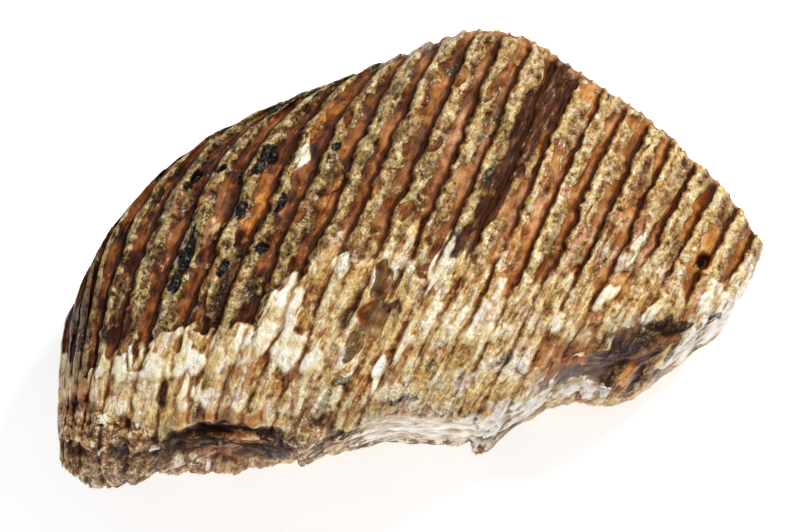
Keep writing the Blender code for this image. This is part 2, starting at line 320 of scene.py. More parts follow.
def through(points, plate):
    """The value at a plate of a smooth line through given (plate, value) points."""
    at, value = np.array(points, float).T
    slope = np.gradient(value, at)
    i = np.clip(np.searchsorted(at, plate) - 1, 0, len(at) - 2)
    step = at[i + 1] - at[i]
    t = np.clip((plate - at[i]) / step, 0, 1)
    near = (1 + 2 * t) * (1 - t) ** 2 * value[i] + t * (1 - t) ** 2 * step * slope[i]
    far = t * t * (3 - 2 * t) * value[i + 1] - t * t * (1 - t) * step * slope[i + 1]
    return near + far


def ease(low, high, value):
    """0 below low, 1 above high, and a smooth rise between them."""
    t = np.clip((value - low) / (high - low), 0, 1)
    return t * t * (3 - 2 * t)


def lattice(points, size):
    """The cell of a lattice that each point is in, as whole numbers, and its place in that cell."""
    at = np.moveaxis(points / np.array(size, float), -1, 0).astype(np.float32)
    low = np.floor(at)
    return low.astype(np.int32), at - low


def scramble(cell, step, seed):
    """A whole number from 0 to 255 for a neighbour of each cell, with no pattern that shows."""
    mixed = np.full(cell.shape[1:], seed * 7919, np.int32)
    for place, offset, prime in zip(cell, step, (73856093, 19349663, 83492791)):
        mixed ^= (place + np.int32(offset)) * np.int32(prime)
    mixed = (mixed ^ (mixed >> 13)) * np.int32(1274126177)
    return (mixed ^ (mixed >> 16)) & 255


def grain(points, size, seed):
    """Soft noise of about -1 to 1 whose lumps have the given size, or one size for each axis."""
    cell, part = lattice(points, size)
    fade = part**3 * (part * (6 * part - 15) + 10)
    total = 0
    for corner in itertools.product((0, 1), repeat=3):
        way = WAYS[:, scramble(cell, corner, seed)]
        value = 1.6
        for axis, near in enumerate(corner):
            value = value * (fade[axis] if near else 1 - fade[axis])
        total = total + value * sum((part[axis] - corner[axis]) * way[axis] for axis in range(3))
    return total


def cells(points, size, seed):
    """Crazed cells of the given size: 0 on a crack to 1 inside, and a tone from 0 to 1 for each cell."""
    cell, part = lattice(points, size)
    near = np.full(part.shape[1:], 9.0, np.float32)
    second, tone = near.copy(), near.copy()
    for step in itertools.product((-1, 0, 1), repeat=3):
        number = scramble(cell, step, seed)
        way = WAYS[:, number]
        away = np.sqrt(sum((step[axis] + 0.5 + 0.45 * way[axis] - part[axis]) ** 2 for axis in range(3)))
        closer = away < near
        second = np.where(closer, near, np.minimum(second, away))
        tone = np.where(closer, number / 255, tone)
        near = np.minimum(near, away)
    return np.clip((second - near) / 0.3, 0, 1), tone


def placed(points, middle_x, middle_y, middle_z, long, high, deep, turn, strength=1.0):
    """The strength of a place in its middle, falling to 0 outside it."""
    turn = np.radians(turn)
    x = points[..., 0] - middle_x
    y = points[..., 1] - middle_y
    z = points[..., 2] - middle_z
    along = (x * np.cos(turn) + y * np.sin(turn)) / long
    up = (y * np.cos(turn) - x * np.sin(turn)) / high
    away = np.sqrt(along**2 + up**2 + (z / deep) ** 2)
    return strength * (1 - ease(0.45, 1.25, away))


def covered(places, points):
    """The strongest of several places at each point."""
    return np.max([placed(points, *place) for place in places], axis=0)


def plate_x(plate, y):
    """The line that a plate follows up the tooth, seen from the flank."""
    rise = y - FOOT_ROW_Y
    upward = LEAN_BLEND * np.logaddexp(0, rise / LEAN_BLEND)
    lean = through(ROOT_LEAN, plate) * (rise - upward) + through(CROWN_LEAN, plate) * upward
    below_tip = through(CROWN_EDGE, plate) - y
    curl = TIP_CURL * np.exp(-np.maximum(below_tip, 0) / TIP_CURL_REACH)
    sag = TIP_SAG * np.exp(-(((below_tip - 32) / 22) ** 2))
    return through(FOOT_X, plate) + lean + (curl - sag) * ease(15, 18, plate)


def worn(plate):
    """1 where the plate is worn flat, 0 where its tip is whole."""
    return 1 - ease(LAST_WORN_PLATE, FIRST_TIP_PLATE, plate)


def ring_square():
    """The ring as a square path: (up, across) from -1 to 1, up for the crown, across for +Z."""
    corners = ((-1, 1), (1, 1), (1, -1), (-1, -1), (-1, 1))
    path = []
    for steps, start, end in zip(AROUND_STEPS, corners, corners[1:]):
        for i in range(steps):
            share = i / steps
            path.append([a + (b - a) * share for a, b in zip(start, end)])
    return np.array(path).T


def ring_rows():
    """(plate, shrink, bulge) for every ring, from the closed back end to the closed front end."""
    shrink = np.linspace(1, 0, END_RINGS + 1)[:-1] ** 1.4
    bulge = through(END_DOME, shrink)
    plates = np.linspace(BACK_PLATE, FRONT_PLATE, RINGS + 1 - 2 * END_RINGS)
    none = np.zeros(len(plates))
    plate = np.concatenate([np.full(END_RINGS, BACK_PLATE), plates, np.full(END_RINGS, FRONT_PLATE)])
    shrinks = np.concatenate([shrink, none, shrink[::-1]])
    bulges = np.concatenate([-bulge, none, bulge[::-1]])
    return plate[:, None], shrinks[:, None], bulges[:, None]


def smooth_skin(plate, up, across, shrink, bulge):
    """The tooth's surface before any relief: its points, their outward directions, up and across."""
    top, bottom = through(CROWN_EDGE, plate), through(ROOT_EDGE, plate)
    off = np.abs(plate - np.round(plate))
    top = top + TIP_RISE * (0.5 - ease(0.17, 0.33, off)) * ease(15.5, 18, plate)
    low, thick = through(LOWER_FLANK, plate), through(THICKNESS, plate)
    half_height, half_thick = (top - bottom) / 2, thick / 2

    square = worn(plate) * WORN_SQUARENESS + (1 - worn(plate)) * TIP_SQUARENESS
    power = np.where(up > 0, square, ROOT_SQUARENESS)
    reach = (np.abs(up) ** power + np.abs(across) ** power) ** (-1 / power)
    up, across = up * reach, across * reach

    taper = 1 - 0.10 * ease(0.1, 1, up) - 0.10 * ease(-0.3, -1.1, up)
    y = (top + bottom) / 2 + half_height * up * (1 - shrink)
    middle = low + half_thick
    z = middle + half_thick * across * taper * (1 - shrink)
    x = plate_x(plate, y)
    lean = plate_x(plate, y + 1) - x

    out_up = np.sign(up) * np.abs(up) ** (power - 1) / half_height
    out_z = np.sign(across) * np.abs(across) ** (power - 1) / half_thick
    size = np.hypot(out_up, out_z)
    stretch = np.sqrt(1 + lean**2)
    normal = np.stack([out_up * lean / stretch, out_up / stretch, out_z], -1) / size[..., None]
    return np.stack([x + bulge, y, z], -1), normal, up, across


def section(table, place):
    """The height of a plate's section at each place between its grooves."""
    at, height = np.array(table).T
    return np.interp(place, at, height)


def blurred(grid, steps):
    """A running mean over the rings and round them."""
    total = np.zeros_like(grid)
    padded = np.pad(grid, ((steps, steps), (0, 0)), mode="edge")
    for i in range(2 * steps + 1):
        total += padded[i : i + len(grid)]
    grid = total / (2 * steps + 1)
    total = sum(np.roll(grid, j, axis=1) for j in range(-steps, steps + 1))
    return total / (2 * steps + 1)


def cement_cover(plate, phase, sheet, points):
    """How far inside the rough cement each point is, in plates, and below 0 on bare enamel."""
    bridge = 0.55 * ease(0.22, 0.45, grain(sheet, (13, 22, 18), 11))
    chip = 0.45 * ease(0.28, 0.45, grain(sheet, (8, 13, 11), 12))
    lobes = 0.16 * grain(sheet, (5, 11, 9), 13) + 0.14 * grain(points, 3.4, 14)
    front = phase + through(CEMENT_FRONT, plate) + lobes + bridge - chip
    back = CEMENT_BACK - phase + 0.14 * grain(sheet, (5, 7, 7), 15) + 0.09 * grain(points, 2.2, 16)
    return np.minimum(front, back)


def fibre_lines(points, sheet):
    """Places counted (across, along, through) the fibres of the smooth hollows.

    Fibres follow the plates on the flank, slant up under the front plates, and lie level elsewhere.
    """
    x, y, z = np.moveaxis(points, -1, 0)
    turn = math.radians(SCOOP_SLANT)
    slanted = np.stack([y * np.cos(turn) - x * np.sin(turn), x * np.cos(turn) + y * np.sin(turn), z], -1)
    level = np.stack([0.7 * z - 0.7 * y, 2 * x, y], -1)
    along_plates = (y > HOLLOWS_BELOW_Y)[..., None]
    return np.where(along_plates, sheet, np.where((x > SCOOP_FROM_X)[..., None], slanted, level))


def shown(mark):
    """How far a mark of some strength shows in the relief."""
    return ease(0.3, 0.7, mark)


def lay_plates(at):
    """Adds where each point is in its plate, and how far it belongs to roots, worn face and crown."""
    points, sheet, plate = at.points, at.sheet, at.plate
    # The plates wander, each in its own way. A phase is counted from one groove to the next.
    wander = 0.10 * grain(points, 34, 1) + 0.12 * grain(sheet, (9, 21, 16), 2)
    wander += 0.08 * grain(sheet, (6, 8, 7), 3) + 0.07 * grain(points, 3, 4)
    at.phase = (plate + wander - GROOVE_AT) % 1 - 1 + GROOVE_AT

    # The crown's foot is ragged.
    at.foot = through(CROWN_FOOT, plate) + 3 * grain(points, 4, 6)
    at.foot += (11 + 9 * (1 - ease(13, 15, plate))) * grain(sheet, (5, 30, 26), 5)
    spread = 1.2 + 9 * (1 - ease(14.5, 16, plate))
    at.root = 1 - ease(-1, 1, (points[..., 1] - at.foot) / spread)
    at.face = worn(plate) * ease(0.90, 0.97, at.up)
    at.crown = (1 - at.root) * (1 - at.face)


def lay_marks(at):
    """Adds how strong each mark is, its edges running out along the plates, and what marks clear."""
    drift = np.stack([grain(at.sheet, (3.6, 8, 8), seed) for seed in (7, 8, 9)], -1)
    marks = at.marks = {}
    for name, places in MARKS.items():
        edge = NEATNESS if name in NEAT_MARKS else 1.0
        marks[name] = covered(places, at.points + STAIN_DRIFT * edge * drift)
    tips = ease(0.87, 0.96, at.up) * ease(-0.25, 0.3, grain(at.points, 5, 10)) * (1 - 0.8 * at.face)
    tips *= 0.4 + 0.6 * ease(-0.2, 0.5, at.across)
    at.tips = tips
    marks["green"] = np.maximum(marks["green"], 0.62 * tips)
    at.bare = ease(0.25, 0.7, marks["bare"])
    at.grit = ease(0.2, 0.7, marks["grit"]) * at.root
    at.calm = np.maximum(at.bare, shown(marks["tan"]))


def lay_cement(at):
    """Adds how far inside the crown's cement each point is, and how far cement covers it."""
    depth_in = cement_cover(at.plate, at.phase, at.sheet, at.points) + 0.5 * at.tips
    depth_in -= 0.6 * shown(at.marks["pink"]) * ease(0.1, -0.1, at.phase)
    depth_in -= 0.4 * ease(0.5, 1.0, at.marks["dark"])
    # Cement wraps the rounded back end, in patches.
    depth_in += ease(0.02, 0.2, at.shrink) * (1 - worn(at.plate)) * (0.5 + 0.9 * grain(at.points, 9, 17))
    at.depth_in = depth_in
    at.cement = ease(-0.09, 0.09, depth_in) * (1 - at.calm)


def shared_noise(points, sheet):
    """Noise that several kinds of relief share."""
    flake, flake_tone = cells(sheet, FLAKE, 31)
    splinter, splinter_tone = cells(sheet, SPLINTER, 32)
    return SimpleNamespace(
        grains=cells(points, CEMENT_GRAIN, 21)[0], crumbs=cells(points, CRUMB, 26)[0],
        fine=grain(points, FINE_GRAIN, 22), clods=grain(points, CLOD, 23),
        flake=flake, flake_tone=flake_tone, splinter=splinter, splinter_tone=splinter_tone)


def crown_layers(at, noise, relief):
    """The plates' own section, smooth where enamel is bare and coarse where cement lies on it."""
    tall = FLANK_RIDGE * (1 - 0.6 * ease(0.82, 1.0, at.up) * (1 - ease(16, 18, at.plate)) * at.whole)
    tall += (TIP_RIDGE - tall) * ease(0.8, 1.0, at.up) * ease(16, 18, at.plate)
    yield tall * (section(CROWN_SECTION, at.phase) + CEMENT_STEP * at.cement - 0.55) * at.crown
    knobs = grain(at.sheet, (3.6, 8, 6), 28)
    rough = 0.30 * (noise.grains - 0.6) + 0.22 * (noise.crumbs - 0.6) + 0.8 * noise.clods + 1.8 * knobs
    rough += 0.38 * noise.fine + 0.22 * grain(at.points, SAND, 29)
    yield relief * rough * at.cement * at.crown
    silk = 0.12 * grain(at.sheet, (2.2, 7, 7), 24) + 0.45 * grain(at.points, 8, 25)
    yield relief * silk * at.crown * (1 - at.cement)


def root_layers(at, noise, relief):
    """Flakes of root cement along the plates, each at its own level, and ridges below them."""
    leafy = 1 - 0.45 * ease(15, 17, at.plate)
    flaky = 0.25 * (noise.flake - 0.7) + 1.0 * (noise.flake_tone - 0.5) + 0.15 * (noise.splinter - 0.7)
    flaky += 0.7 * (noise.splinter_tone - 0.5) + 0.6 * noise.clods + 0.4 * noise.fine
    flaky += 0.25 * (noise.crumbs - 0.6)
    lobe = shown(at.marks["cream"])
    yield relief * leafy * flaky * at.root * (1 - at.calm) * (1 - at.grit) * (1 - 0.6 * lobe)
    yield through(ROOT_RIDGE, at.plate) * (section(ROOT_SECTION, at.phase) - 0.6) * at.root * (1 - at.calm)


def mark_layers(at, noise, relief):
    """Crumbs at the broken roots, soft folds where the surface is bare, and the marks' own relief."""
    lumps = 3.6 * grain(at.points, 11, 41) + 0.9 * (cells(at.points, 4.2, 42)[0] - 0.6) + 0.5 * noise.fine
    lumps += 1.2 * noise.clods
    yield relief * lumps * at.grit * (1 - at.bare)
    folds = 0.9 * grain(at.points, (10, 6, 8), 43) + 0.5 * grain(at.points, (4.5, 3, 4), 44)
    yield relief * folds * at.bare * at.root
    # Cream marks are raised. Black ones are sunk, with a rough floor.
    lobe, pit = shown(at.marks["cream"]), shown(at.marks["black"])
    yield 0.9 * lobe + pit * (relief * (0.9 * noise.fine + 0.8 * (noise.crumbs - 0.5)) - 1.0)


def face_layers(at, noise, relief):
    """The worn face has a low wall of enamel round each plate, and dips in the middle."""
    wall = FACE_RIDGE * (section(FACE_SECTION, at.phase) - 0.4)
    yield (wall - WORN_FACE_DISH * (1 - at.across**2)) * at.face
    yield relief * (0.4 * noise.clods + 0.35 * (noise.grains - 0.6)) * at.face


def form_layers(at):
    """Knuckles along the unworn tips, and the forms of the whole tooth."""
    knuckle = np.cos(at.points[..., 2] * (2 * np.pi / KNUCKLE_PITCH) + 3 * grain(at.points, 30, 51))
    yield 0.9 * knuckle * at.whole * ease(0.72, 0.95, at.up) * ease(-0.5, -0.2, at.phase)
    yield ROUGHNESS * (grain(at.points, ROUGH_GRAIN, 52) + 0.5 * grain(at.points, ROUGH_GRAIN / 2.3, 53))
    for place in FORMS + DETAILS:
        yield placed(at.points, *place)


def relative_height(out, steps, most):
    """How far each point stands above what is round it: 0.5 if level, 1 if by most or more."""
    return 0.5 + 0.5 * np.clip((out - blurred(out, steps)) / most, -1, 1)


def skin_zones(at, out):
    """What the material reads at each point."""
    plate, phase, crown, clear = at.plate, at.phase, at.crown, 1 - at.calm
    broken = ease(-0.15, 0.2, grain(at.sheet, (6, 13, 11), 27))
    # Painted shade in each groove, and in the root's crevices below the crown's foot.
    groove_shade = np.exp(-((np.minimum(GROOVE_AT - phase, phase + 1 - GROOVE_AT) / 0.085) ** 2))
    crevice = (0.85 - 0.3 * ease(13, 16, plate)) * broken * ease(-60, -8, at.points[..., 1] - at.foot)
    # Painted shade on both sides of each ridge, and on the enamel as it falls into the next groove.
    fall_shade = np.maximum(0.85 * ease(-0.04, -0.28, phase) * at.cement, 0.8 * ease(-0.46, -0.68, phase))
    groove_shade_reach = crown * (1 - 0.5 * at.cement) + crevice * at.root * (1 - at.grit)
    return {
        **at.marks,
        "bare": at.bare * ease(0.0, 0.5, at.root + covered(CLEARED, at.points)),
        "grit": at.grit,
        "cement": (0.5 + 0.5 * np.clip(at.depth_in / 0.16, -1, 1)) * crown * clear,
        "groove_shade": groove_shade * clear * groove_shade_reach * (1 - 0.4 * at.marks["pink"]),
        "side": np.maximum(ease(0.02, 0.24, phase), fall_shade) * crown * clear,
        # A thin painted highlight along the lip of each back ridge.
        "lip_highlight": np.exp(-(((phase - 0.19) / 0.07) ** 2)) * crown * ease(14, 19, plate) * broken,
        "root": at.root,
        "face": at.face,
        "enamel_line": section(FACE_SECTION, phase) * at.face,
        "height": relative_height(out, 6, 1.1),
        "depth": relative_height(out, 18, 2.8),
        "back": ease(8, 18, plate + 3 * grain(at.points, 30, 62)),
    }


def tooth_skin(relief):
    """The finished points in millimetres, the zones that the material reads, and noise places."""
    plate, shrink, bulge = ring_rows()
    square_up, square_across = ring_square()
    points, normal, up, across = smooth_skin(plate, square_up[None], square_across[None], shrink, bulge)
    plate = np.broadcast_to(plate, points.shape[:2])
    spread_out = plate - 0.5 * np.maximum(plate - CLOSE_PLATES, 0)
    sheet = np.stack([spread_out * PLATE_PITCH, points[..., 1], points[..., 2]], -1)
    at = SimpleNamespace(points=points, sheet=sheet, plate=plate, up=up, across=across, shrink=shrink,
                         whole=1 - worn(plate))
    lay_plates(at)
    lay_marks(at)
    lay_cement(at)

    noise = shared_noise(points, sheet)
    layers = [make(at, noise, relief) for make in (crown_layers, root_layers, mark_layers, face_layers)]
    out = np.zeros(plate.shape)
    for layer in itertools.chain(*layers, form_layers(at)):
        out += layer
    out *= 1 - shrink

    # The broken ends are rough along the tooth.
    end = ease(0, 0.3, shrink)
    points[..., 0] += end * (1.0 * grain(sheet, 6, 61) + 0.5 * noise.clods + 0.4 * (noise.flake_tone - 0.5))
    finished = points + normal * out[..., None]
    finished[..., 2] = np.maximum(finished[..., 2], 0)
    return finished, skin_zones(at, out), {"in_plate": sheet, "in_fibre": fibre_lines(points, sheet)}


def linear(hex_colour):
    """An sRGB hex colour as a linear colour with full alpha."""
    values = [int(hex_colour[i : i + 2], 16) / 255 for i in (1, 3, 5)]
    return [v / 12.92 if v <= 0.04045 else ((v + 0.055) / 1.055) ** 2.4 for v in values] + [1.0]


def rgba(colour):
    """A hex colour, or a colour from the panel, as a linear colour with full alpha."""
    return linear(colour) if isinstance(colour, str) else [*colour, 1.0]


class Nodes:
    """Builds a node tree. Each input is a value, a colour or another node's output."""

    def __init__(self, tree):
        self.tree = tree
        tree.nodes.clear()

    def add(self, kind, inputs=None, **settings):
        """The outputs of a new node."""
        node = self.tree.nodes.new("ShaderNode" + kind)
        for name, value in settings.items():
            setattr(node, name, value)
        for key, value in (inputs or {}).items():
            socket = node.inputs[key]
            if isinstance(value, bpy.types.NodeSocket):
                self.tree.links.new(value, socket)
            else:
                socket.default_value = rgba(value) if socket.type == "RGBA" else value
        return node.outputs

    def maths(self, operation, *values):
        return self.add("Math", dict(enumerate(values)), operation=operation)[0]

    def rise(self, value, low, high, most=1.0):
        """0 up to low, most from high on, and a straight rise between them."""
        return self.add("MapRange", {"Value": value, "From Min": low, "From Max": high, "To Max": most})[0]

    def ramp(self, value, *stops):
        """A colour for each value, by stops of (position, colour)."""
        colour = self.add("ValToRGB", {"Fac": value})[0]
        ramp = colour.node.color_ramp
        while len(ramp.elements) < len(stops):
            ramp.elements.new(1.0)
        for element, (position, tone) in zip(ramp.elements, stops):
            element.position = position
            element.color = rgba(tone)
        return colour

    def mix(self, share, under, over, blend="MIX"):
        """A colour with another one laid over it."""
        return self.add("Mix", {0: share, 6: under, 7: over}, data_type="RGBA", blend_type=blend)[2]


def zone_sources(nodes):
    """The zones stored on the skin, by name."""
    names = (*MARKS, "cement", "groove_shade", "side", "lip_highlight", "root", "face", "enamel_line", "height", "depth",
             "back")
    return {name: nodes.add("Attribute", attribute_name=name)["Fac"] for name in names}


def noise_sources(nodes):
    """Kinds of noise by name, and weighted sums of them that are all about 0.5 in the middle.

    Specks are 0.8 mm, clumps 3 mm, blotches 8 mm and stains 18 mm. In the plates' sheet, streaks are
    1 mm wide and 5 mm long, tints 6 mm wide and 20 mm long, and leaves 3.3 mm wide and 13 mm long.
    In the hollows, fibres are 2 mm wide and 8 mm long.
    """
    place = nodes.add("TexCoord")["Object"]
    sheet = nodes.add("Attribute", attribute_name="in_plate")["Vector"]
    lines = nodes.add("Attribute", attribute_name="in_fibre")["Vector"]

    def scaled(vector, *scale):
        return nodes.add("Mapping", {"Vector": vector, "Scale": scale})[0]

    narrow, wide = scaled(sheet, 0.95, 0.20, 0.20), scaled(sheet, 0.16, 0.05, 0.05)
    silky = scaled(lines, 0.50, 0.13, 0.25)
    noise = {}
    for name, vector, scale, detail, twist in (
            ("speck", place, 1250.0, 2.0, 0.0), ("clump", place, 330.0, 4.0, 0.0),
            ("blotch", place, 120.0, 4.0, 0.4), ("stain", place, 55.0, 4.0, 0.4),
            ("streak", narrow, 1.0, 4.0, 0.5), ("tint", wide, 1.0, 4.0, 0.4),
            ("fibre", silky, 1.0, 5.0, 0.9)):
        noise[name] = nodes.add("TexNoise", {"Vector": vector, "Scale": scale, "Detail": detail,
                                             "Roughness": 0.62, "Distortion": twist})["Fac"]

    # Leaves have torn edges, and a gap of their own round each.
    shift = nodes.add("TexNoise", {"Vector": place, "Scale": 240.0, "Detail": 3.0})["Color"]
    leaves = nodes.add("VectorMath", {0: shift, 1: (0.7, 0.7, 0.7), 2: scaled(sheet, 0.30, 0.075, 0.11)},
                       operation="MULTIPLY_ADD")[0]
    leaves = {"Vector": leaves, "Scale": 1.0}
    noise["leaf"] = nodes.add("TexVoronoi", leaves, normalize=True)["Color"]
    noise["gap"] = nodes.add("TexVoronoi", leaves, feature="DISTANCE_TO_EDGE")["Distance"]
    # Crystals of 2, 0.9 and 0.4 mm: 0.15 in the middle of one and 0.45 between them.
    crystals = {"Vector": place, "Scale": 500.0, "Detail": 2.0, "Roughness": 0.7, "Lacunarity": 2.2}
    noise["crystal"] = nodes.add("TexVoronoi", crystals, normalize=True)["Distance"]

    for name, start, shares in (
            ("grains", 0.165, {"clump": 0.55, "speck": 0.20, "crystal": -0.50, "streak": 0.22}),
            ("mottle", -0.21, {"clump": 0.28, "blotch": 0.40, "tint": 0.46, "streak": 0.28}),
            ("leaves", -0.348, {"clump": 0.30, "blotch": 0.36, "stain": 0.55, "crystal": -0.34,
                                "streak": 0.55, "leaf": 0.20}),
            ("lined", -0.05, {"streak": 0.8, "clump": 0.3}),
            ("glazed", -0.05, {"blotch": 0.6, "fibre": 0.35, "clump": 0.15}),
            ("ragged", -0.9, {"clump": 1.3, "speck": 0.5}),
            ("torn", -1.3, {"clump": 1.3, "speck": 0.4, "streak": 0.9})):
        noise[name] = start
        for source, share in shares.items():
            noise[name] = nodes.maths("MULTIPLY_ADD", noise[source], share, noise[name])
    return noise


def clean_colour(nodes, zone, noise, settings):
    """The tooth's colour without stains, and how far cement and root cement cover it."""
    # Cement grains on the ridges, gold and pale cream, greyer towards the back. The darkest stops are
    # painted shade in the pits, and the palest stops are partly painted glints on the grains.
    gold = nodes.ramp(noise["grains"], (0.35, "#6E461C"), (0.42, "#A47A40"), (0.48, settings.cement_front),
                      (0.54, "#DCCA9C"), (0.60, "#F0E7CA"), (0.68, "#FFFCF0"))
    grey = nodes.ramp(noise["grains"], (0.36, "#1E140A"), (0.43, "#5A4424"), (0.48, settings.cement_back),
                      (0.54, "#B29C6C"), (0.60, "#D2C196"), (0.68, "#F4EBD0"))
    ridge = nodes.mix(zone["back"], gold, grey)
    # Polished enamel between them, orange at the front, red brown at the back, pink where thin.
    front = nodes.ramp(noise["mottle"], (0.36, "#6A3713"), (0.45, "#9A5E2A"), (0.53, settings.enamel_front),
                       (0.64, "#DDB27C"))
    rear = nodes.ramp(noise["mottle"], (0.37, "#26120A"), (0.46, "#532B15"), (0.53, settings.enamel_back),
                      (0.63, "#A9703F"))
    thin = nodes.ramp(noise["grains"], (0.38, "#763C2C"), (0.44, "#B88468"), (0.52, "#D4AC92"),
                      (0.62, "#F0DAC6"))
    enamel = nodes.mix(zone["pink"], nodes.mix(zone["back"], front, rear), thin)
    # Leaves of root cement in cream, straw and brown, each with a tone of its own.
    root = nodes.ramp(noise["leaves"], (0.28, "#7A4A20"), (0.36, "#AE8044"), (0.43, "#CDA96C"),
                      (0.51, settings.root_cement), (0.60, "#F5EBCF"), (0.70, "#FFFEF8"))

    # The cement's edge is ragged at the size of the grit.
    cover = nodes.rise(nodes.maths("ADD", noise["ragged"], zone["cement"]), 0.40, 0.54)
    foot = nodes.rise(nodes.maths("ADD", noise["ragged"], zone["root"]), 0.35, 0.65)
    flank = nodes.mix(foot, nodes.mix(cover, enamel, ridge), root)
    # The worn face: cream enamel lines round brown dentine.
    dentine = nodes.ramp(noise["mottle"], (0.38, "#5E3518"), (0.5, "#9A6A38"), (0.62, "#C9A469"))
    face = nodes.mix(nodes.rise(zone["enamel_line"], 0.55, 0.85), dentine, "#E9DCBC")
    return nodes.mix(zone["face"], flank, face), cover, foot


def tinted(nodes, colour, zone, noise, coarse, foot):
    """The colour with tints that run along the plates, and painted shade on the ridges' sides and where the
    enamel falls into each groove.
    """
    side = nodes.maths("ADD", noise["ragged"], zone["side"])
    # What drives the tint, from, to, where, colour and how much.
    for value, low, high, where, tone, most in (
            (noise["tint"], 0.53, 0.64, coarse, "#B87434", 0.80),
            (noise["tint"], 0.45, 0.36, coarse, "#8C8664", 0.65),
            (noise["blotch"], 0.56, 0.66, coarse, "#B06A30", 0.65),
            (noise["streak"], 0.56, 0.66, coarse, "#A35A26", 0.60),
            # Painted shade on the ridges' sides and on the enamel that falls into each groove.
            (side, 0.25, 1.1, zone["side"], "#8E5C2E", 0.85),
            # Painted shade in the cracks between the cement's crystals.
            (noise["crystal"], 0.34, 0.46, coarse, "#8A5C34", 0.32),
            (noise["gap"], 0.03, 0.0, foot, "#8A5426", 0.6)):
        share = nodes.maths("MULTIPLY", nodes.rise(value, low, high, most), where)
        colour = nodes.mix(share, colour, tone, "MULTIPLY")
    return colour


def stained(nodes, colour, zone, noise, settings):
    """The colour with the marks painted over it, each with a ragged edge."""
    crisp, middling, soft = (0.36, 0.50), (0.28, 0.62), (0.20, 0.75)
    # The mark, what drives its ramp, its edge, how much of it shows, and the ramp.
    for name, source, (low, high), most, *stops in (
            ("bare", "fibre", crisp, 0.92, (0.36, "#3A220E"), (0.5, "#6E4824"), (0.64, "#A07644")),
            ("grit", "grains", soft, 0.88, (0.40, "#140A05"), (0.45, "#5E3416"), (0.50, "#9A6030"),
             (0.545, "#A0906A"), (0.60, "#EFE3C6")),
            ("rust", "mottle", soft, 0.8, (0.40, "#7A3F14"), (0.49, "#AC6729"), (0.58, "#DE9C54")),
            ("dark", "lined", middling, 0.95, (0.38, "#180A06"), (0.48, "#3A1C0E"), (0.56, "#56301A"),
             (0.66, "#80583A")),
            ("earth", "grains", middling, 0.95, (0.40, "#0A0503"), (0.47, "#2A1811"), (0.54, "#4E3122"),
             (0.62, "#947258")),
            ("violet", "fibre", soft, 0.9, (0.36, "#1A1216"), (0.5, "#43343A"), (0.64, "#7D6D6E")),
            ("tan", "mottle", middling, 0.9, (0.40, "#74462A"), (0.5, "#B07E52"), (0.60, "#E8CCAC")),
            ("white", "glazed", crisp, 0.95, (0.34, "#8C7868"), (0.41, "#CFC3B8"), (0.49, settings.glaze),
             (0.64, "#FFFEFB")),
            ("cream", "mottle", soft, 0.92, (0.38, "#C9A568"), (0.46, "#E8D5A8"), (0.53, "#F8EFD8"),
             (0.61, "#FFFFF6")),
            ("green", "speck", crisp, 0.85, (0.35, "#10110D"), (0.5, "#3B4035"), (0.66, "#A8A58E")),
            ("black", "grains", crisp, 0.97, (0.40, "#030303"), (0.52, "#0D0B0A"), (0.58, "#2E2822"),
             (0.64, "#8A8074"))):
        paint = nodes.ramp(noise[source], *stops)
        edge = nodes.rise(nodes.maths("ADD", noise["torn"], zone[name]), low, high, most)
        colour = nodes.mix(edge, colour, paint)
    return colour


def painted_light_and_shade(nodes, colour, zone, noise, coarse, settings):
    """The colour with painted highlights on the crests where the surface is coarse, and painted shade in
    all that lies low.
    """
    crest_highlight = nodes.maths("MULTIPLY", nodes.rise(zone["height"], 0.52, 0.85, 0.6), coarse)
    colour = nodes.mix(crest_highlight, colour, "#FFF3D2", "SOFT_LIGHT")
    # Painted shade, darker the lower a point lies below what is round it, at a fine and a wide scale.
    for name, *stops in (("height", (0.10, "#94704C"), (0.46, "#F4EADA"), (0.54, "#FFFFFF")),
                         ("depth", (0.05, "#A07C54"), (0.40, "#F4EADA"), (0.5, "#FFFFFF"))):
        colour = nodes.mix(1.0, colour, nodes.ramp(zone[name], *stops), "MULTIPLY")
    # Painted shade fills the grooves, and a thin painted highlight runs along the lip of the back ridges.
    for name, low, high, tone, most in (("groove_shade", 0.40, 0.95, settings.groove_shade, 0.80),
                                        ("lip_highlight", 0.76, 0.98, "#B8AEA2", 0.65)):
        edge = nodes.maths("MULTIPLY_ADD", noise["ragged"], 0.6, zone[name])
        colour = nodes.mix(nodes.rise(edge, low, high, most), colour, tone)
    return colour


def bump(nodes, zone, noise, coarse):
    """Crystals on the cement, streaks on the enamel and the leaves, fibres in the hollows."""
    tall = nodes.add("MapRange", {"Value": coarse, "To Min": 0.10, "To Max": 1.0})[0]
    layers = (
        (0.9, 0.0022, nodes.maths("MULTIPLY", noise["grains"], tall)),
        (0.25, 0.0005, noise["streak"]),
        (0.4, 0.0008, nodes.maths("MULTIPLY", noise["fibre"], zone["bare"])),
    )
    below = {}
    for strength, distance, height in layers:
        layer = {"Strength": strength, "Distance": distance, "Height": height, **below}
        below = {"Normal": nodes.add("Bump", layer)[0]}
    return below["Normal"]


def gloss(nodes, zone, noise, coarse):
    """Lacquer glossy on the cement and the hollows, and a roughness that is duller in the grooves' painted
    shade, the dark marks and the dark hollows.
    """
    lacquer = nodes.maths("MULTIPLY", coarse, 0.25)
    for name, weight in (("bare", 0.10), ("black", 0.2)):
        lacquer = nodes.maths("MAXIMUM", lacquer, nodes.maths("MULTIPLY", zone[name], weight))
    for name in ("groove_shade", "dark", "earth"):
        lacquer = nodes.maths("MULTIPLY", lacquer, nodes.maths("SUBTRACT", 1.0, zone[name]))
    rough = nodes.maths("MULTIPLY_ADD", noise["stain"], 0.30, 0.32)
    for name, change in (("groove_shade", 0.35), ("dark", 0.2), ("earth", 0.4), ("white", -0.08)):
        rough = nodes.maths("MULTIPLY_ADD", zone[name], change, rough)
    return lacquer, rough


